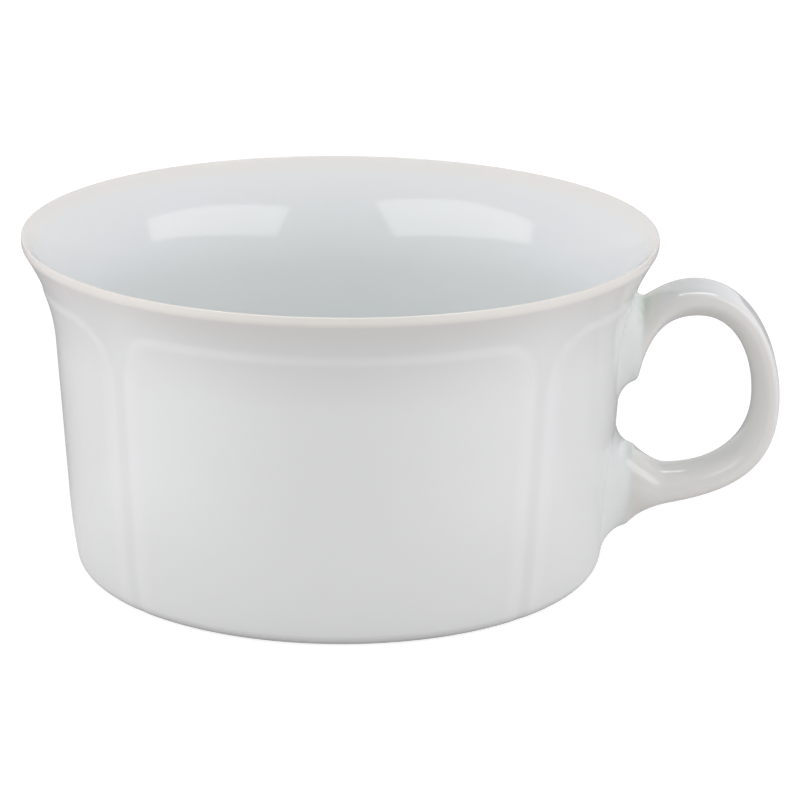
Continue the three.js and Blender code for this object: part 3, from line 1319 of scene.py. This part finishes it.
@dataclass
class Studio:
    """A pale floor, a soft room, the lamps and the camera."""

    cup_axis: float
    camera_turn: float = math.radians(1.779)
    camera_lift: float = math.radians(17.423)
    camera_roll: float = math.radians(0.602)
    camera_distance: float = 563.70 * MM
    camera_target: tuple[float, float, float] = (-0.266 * MM, 0.301 * MM, 26.093 * MM)
    lens: float = 159.15
    sensor: float = 36.0
    floor_size: float = 6.0
    floor_colour: Colour = (0.44, 0.44, 0.44)
    floor_glow: Colour = (0.219, 0.192, 0.175)
    contact_shade: tuple[float, float] = (29.0 * MM, 52.0 * MM)
    shadow_colour: Colour = (0.35, 0.35, 0.35)
    white: Colour = (1.0, 1.0, 1.0)
    seen_glow: float = 0.8
    reflected_glow: float = 0.1
    reflected_beside: float = 0.3
    reflected_patches: float = 2.34
    patch_start: tuple[float, float] = (58.0 * MM, 90.0 * MM)
    room_colour: Colour = (1.049, 1.0, 1.058)
    top_light: float = 0.42
    front_light: float = 0.41
    side_light: float = 0.68
    low_side_light: float = 1.78
    seen_white: float = 1.0
    reflected_white: float = 0.65
    reflected_behind: float = 0.3
    reflected_sides: float = 0.35
    boxes: tuple[Softbox, ...] = (
        Softbox("right_box", 75.8, 30.7, 1.142, 0.288, 2.1, yaw=40.6, roll=-11.1),
        Softbox("left_box", -74.9, 30.3, 1.294, 0.294, 2.1, yaw=-54.9, roll=12.8),
        Softbox("top_box", 0.0, 101.0, 0.8, 0.42, 4.8, only_gloss=True),
    )

    def build(self) -> None:
        """Sets up everything round the cup."""
        bpy.context.scene.view_settings.view_transform = "Standard"
        self.camera()
        self.floor()
        self.room()
        for box in self.boxes:
            box.hang()

    def camera(self) -> None:
        """Places the camera at the picture's viewing angle."""
        data = bpy.data.cameras.new("camera")
        data.lens = self.lens
        data.sensor_width = self.sensor
        data.clip_start = 10.0 * MM
        made = bpy.data.objects.new("camera", data)
        turn = Matrix.Rotation(self.camera_turn, 4, "Z")
        lift = Matrix.Rotation(QUARTER - self.camera_lift, 4, "X")
        roll = Matrix.Rotation(self.camera_roll, 4, "Z")
        away = Matrix.Translation((0.0, 0.0, self.camera_distance))
        made.matrix_world = Matrix.Translation(self.camera_target) @ turn @ lift @ away @ roll
        bpy.context.scene.collection.objects.link(made)
        bpy.context.scene.camera = made

    def floor(self) -> None:
        """Lays the floor."""
        bm = bmesh.new()
        bmesh.ops.create_grid(bm, x_segments=1, y_segments=1, size=self.floor_size / 2.0)
        piece = finish_mesh(bm, "floor")
        piece.data.materials.append(self.floor_paint())

    def floor_paint(self) -> bpy.types.Material:
        """Paints the floor, which the camera sees as white with a faint shadow.

        Returns:
            The material.
        """
        paint = bpy.data.materials.new("pale_floor")
        paint.use_nodes = True
        nodes = paint.node_tree.nodes
        nodes.clear()
        graph = Graph(paint.node_tree)
        maths = graph.maths
        x, y, _ = graph.coordinates("Object")
        across = maths("SUBTRACT", x, self.cup_axis)
        across_squared = maths("MULTIPLY", across, across)
        far = maths("SQRT", maths("MULTIPLY_ADD", y, y, across_squared))

        # What lights the cup: a grey floor with a glow that fades out under the foot.
        glow = graph.bright("ShaderNodeEmission", self.floor_glow, graph.rise(far, *self.contact_shade))
        unseen = graph.both(graph.matt(self.floor_colour), glow)

        # What shows in the glaze: a floor painted paler to both sides, with a painted patch of light in
        # front of the cup on each side.
        beside = maths("POWER", maths("DIVIDE", maths("ABSOLUTE", across), far), 6.0)
        ahead = maths("MULTIPLY", maths("MINIMUM", y, 0.0), -1.0)
        patches = maths("DIVIDE", maths("MULTIPLY", across_squared, ahead), maths("POWER", far, 3.0))
        patches = maths("MULTIPLY", patches, graph.rise(far, *self.patch_start))
        reflected = maths("MULTIPLY_ADD", beside, self.reflected_beside, self.reflected_glow)
        reflected = maths("MULTIPLY_ADD", patches, self.reflected_patches, reflected)
        level = graph.for_camera(self.seen_glow, reflected)
        white = graph.bright("ShaderNodeEmission", self.white, level)
        seen = graph.both(graph.matt(self.shadow_colour), white)

        output = nodes.new("ShaderNodeOutputMaterial")
        graph.by_sight(unseen, seen, output.inputs["Surface"])
        return paint

    def room(self) -> None:
        """Fills the room with soft light, stronger from the sides, that looks white."""
        world = bpy.data.worlds.new("room")
        bpy.context.scene.world = world
        world.use_nodes = True
        nodes = world.node_tree.nodes
        nodes.clear()
        graph = Graph(world.node_tree)
        maths = graph.maths
        side, depth, up = graph.coordinates("Generated")
        side_squared = maths("MULTIPLY", side, side)
        front = maths("MINIMUM", depth, 0.0)

        # What lights the cup: light from above, from the front and from the sides, most of it low.
        low = maths("POWER", maths("SUBTRACT", 1.0, maths("MAXIMUM", up, 0.0)), 2.0)
        from_sides = maths("MULTIPLY_ADD", low, self.low_side_light, self.side_light)
        level = maths("MULTIPLY", maths("MULTIPLY", up, up), self.top_light)
        level = maths("MULTIPLY_ADD", maths("MULTIPLY", front, front), self.front_light, level)
        level = maths("MULTIPLY_ADD", side_squared, from_sides, level)
        unseen = graph.bright("ShaderNodeBackground", self.room_colour, level)

        # What shows in the glaze: paler behind the cup and to both sides.
        reflected = maths("MULTIPLY_ADD", depth, self.reflected_behind, self.reflected_white)
        reflected = maths("MULTIPLY_ADD", side_squared, self.reflected_sides, reflected)
        level = graph.for_camera(self.seen_white, reflected)
        seen = graph.bright("ShaderNodeBackground", self.white, level)

        output = nodes.new("ShaderNodeOutputWorld")
        graph.by_sight(unseen, seen, output.inputs["Surface"])


def main() -> None:
    """Builds the cup and its studio."""
    logging.basicConfig(level=logging.INFO, format="%(name)s: %(message)s")
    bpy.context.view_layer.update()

    porcelain = Glaze("white_porcelain", body=(0.765, 0.80, 0.795))
    # The slip's body is paler and greener than the porcelain's: the green is the slip's own, the paleness a
    # painted sheen.
    joint = Glaze("pooled_slip_with_painted_sheen", body=(0.795, 0.845, 0.84))
    wall = Wall.from_frame()
    # The upper notch carries more painted shade with its gathered glaze than the lower one.
    upper = Root.from_frame(
        "upper_collar", Node.UPPER, reach=2.82 * MM, bottom_fillet=3.3 * MM, top_fillet=1.2 * MM, pooled_and_shaded=0.78
    )
    lower = Root.from_frame(
        "lower_collar", Node.LOWER, reach=3.13 * MM, bottom_fillet=3.75 * MM, top_fillet=4.8 * MM, pooled_and_shaded=0.3
    )
    loop = Loop.from_frame(wall, upper, lower)
    collars = [SlipCollar(loop, root) for root in (upper, lower)]

    CupBody(wall, (upper, lower)).dress(porcelain)
    for collar in collars:
        collar.dress(joint)
    Handle(loop, collars[0].lap).dress(porcelain)
    Studio(wall.axis_x).build()


if __name__ == "__main__":
    main()
